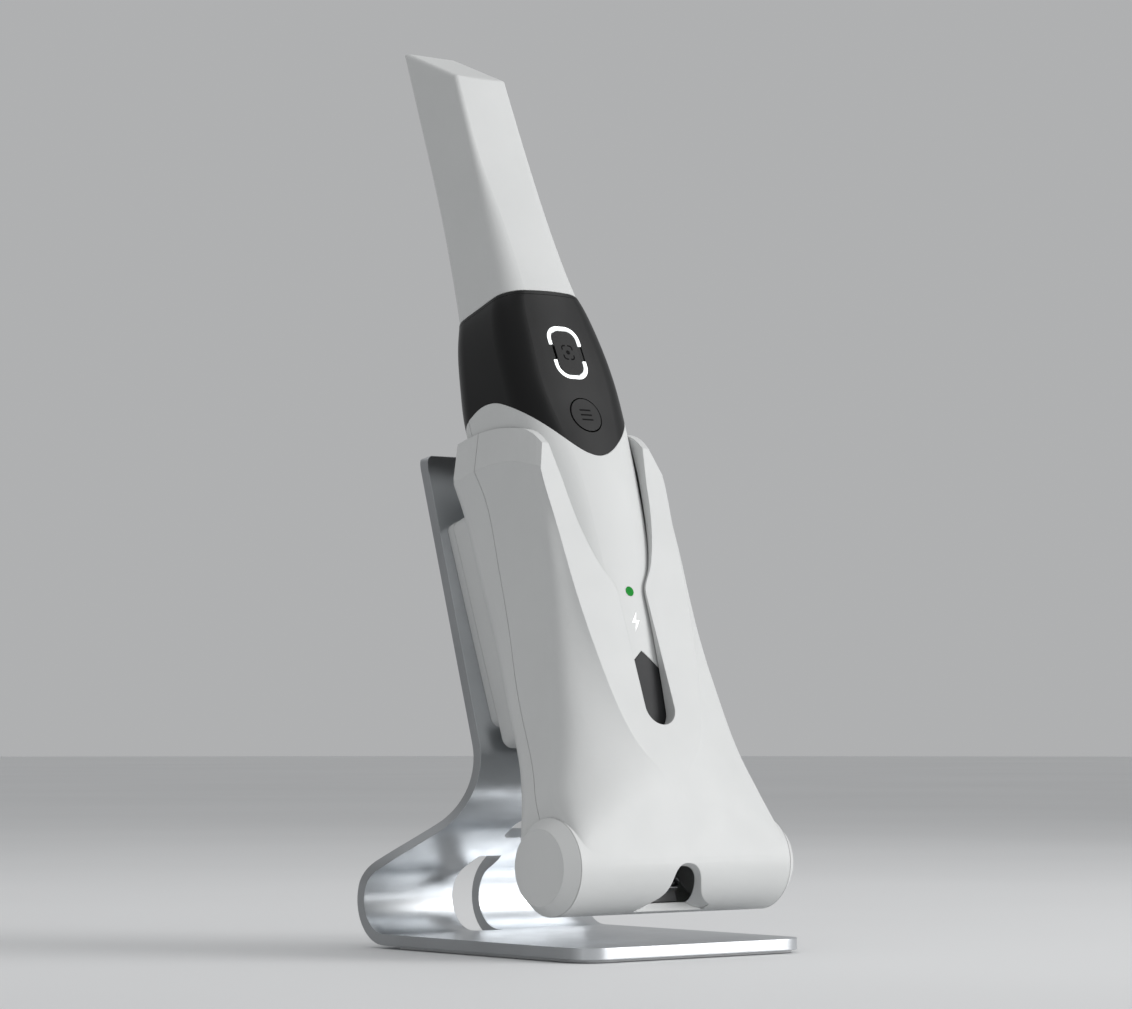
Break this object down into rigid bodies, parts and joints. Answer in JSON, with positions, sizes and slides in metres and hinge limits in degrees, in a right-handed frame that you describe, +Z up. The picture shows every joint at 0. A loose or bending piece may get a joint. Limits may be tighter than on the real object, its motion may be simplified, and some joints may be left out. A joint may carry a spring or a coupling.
{
  "type": "intraoral camera",
  "caption": "Cordless intraoral scanning camera with pull-off mirror tip and two push buttons, docked in a leaning charging cradle on a bent aluminium desk stand.",
  "frame": {"origin": "centre of the bounding box of the whole docked object, on the table plane under the non-slip pad (z = 0)", "axes": "+Z up; -Y is the front, the side with the buttons and the charging socket; +X is to the right when facing the buttons"},
  "size_m": [0.0872, 0.1284, 0.2757],
  "materials": {
    "stand_frame": "satin anodised sheet, fine-blasted",
    "base_pad": "matt light grey non-slip pad",
    "mount_plate": "satin moulded",
    "mount_screws": "zinc-plated pan heads",
    "cradle_front_shell": "satin moulded",
    "cradle_back_shell": "satin moulded",
    "left_end_cap": "satin moulded",
    "right_end_cap": "satin moulded",
    "ballast_weights": "cast half rounds",
    "charge_board": "green circuit board",
    "charge_pins": "gold-plated spring pins",
    "pin_block": "black insulator",
    "power_socket": "nickel shell",
    "socket_board": "grey circuit board",
    "cradle_screws": "zinc-plated self-tapping",
    "handle_front_shell": "satin moulded",
    "handle_back_shell": "satin moulded",
    "battery_pack": "dark grey moulded casing",
    "charge_contacts": "gold-plated pads",
    "battery_contacts": "gold-plated leaf block",
    "main_board": "green circuit board with packages",
    "heat_sink": "machined fins",
    "antenna_board": "blue circuit board",
    "camera_module": "black sensor housing",
    "light_engine": "black lamp housing",
    "optics_barrel": "black anodised tube",
    "lens_group": "coated lenses",
    "button_board": "green circuit board",
    "scan_switch": "snap dome",
    "mode_switch": "snap dome",
    "nose_window": "clear cover glass",
    "control_collar": "black satin moulded",
    "scan_button": "black satin moulded",
    "mode_button": "black satin moulded",
    "scan_light_guides": "milky light guides",
    "status_led": "green lens",
    "charge_icon_lens": "milky light guide",
    "nose_housing": "black satin moulded",
    "tip_sleeve": "satin moulded, sterilisable",
    "tip_mirror": "front-silvered glass"
  },
  "bodies": {
    "stand": {"stand_frame": "stand_frame", "base_pad": "base_pad", "mount_plate": "mount_plate", "mount_screws": "mount_screws", "cradle_front_shell": "cradle_front_shell", "cradle_back_shell": "cradle_back_shell", "left_end_cap": "left_end_cap", "right_end_cap": "right_end_cap", "ballast_weights": "ballast_weights", "charge_board": "charge_board", "charge_pins": "charge_pins", "pin_block": "pin_block", "power_socket": "power_socket", "socket_board": "socket_board", "cradle_screws": "cradle_screws"},
    "handpiece": {"handle_front_shell": "handle_front_shell", "handle_back_shell": "handle_back_shell", "battery_pack": "battery_pack", "charge_contacts": "charge_contacts", "battery_contacts": "battery_contacts", "main_board": "main_board", "heat_sink": "heat_sink", "antenna_board": "antenna_board", "camera_module": "camera_module", "light_engine": "light_engine", "optics_barrel": "optics_barrel", "lens_group": "lens_group", "button_board": "button_board", "scan_switch": "scan_switch", "mode_switch": "mode_switch", "nose_window": "nose_window", "control_collar": "control_collar", "scan_light_guides": "scan_light_guides", "status_led": "status_led", "charge_icon_lens": "charge_icon_lens", "nose_housing": "nose_housing"},
    "scan_button": {"scan_button": "scan_button"},
    "mode_button": {"mode_button": "mode_button"},
    "tip": {"tip_sleeve": "tip_sleeve", "tip_mirror": "tip_mirror"}
  },
  "joints": [
    {"name": "handpiece_lift", "type": "slide", "parent": "stand", "child": "handpiece", "axis": [0, 0.3502, 0.9367], "range_m": [0, 0.125]},
    {"name": "tip_pull", "type": "slide", "parent": "handpiece", "child": "tip", "axis": [0, 0.3502, 0.9367], "range_m": [0, 0.06]},
    {"name": "scan_press", "type": "slide", "parent": "handpiece", "child": "scan_button", "axis": [0, 0.9367, -0.3502], "range_m": [0, 0.0004], "stiffness_N_per_m": 800},
    {"name": "mode_press", "type": "slide", "parent": "handpiece", "child": "mode_button", "axis": [0, 0.9367, -0.3502], "range_m": [0, 0.0004], "stiffness_N_per_m": 800}
  ]
}
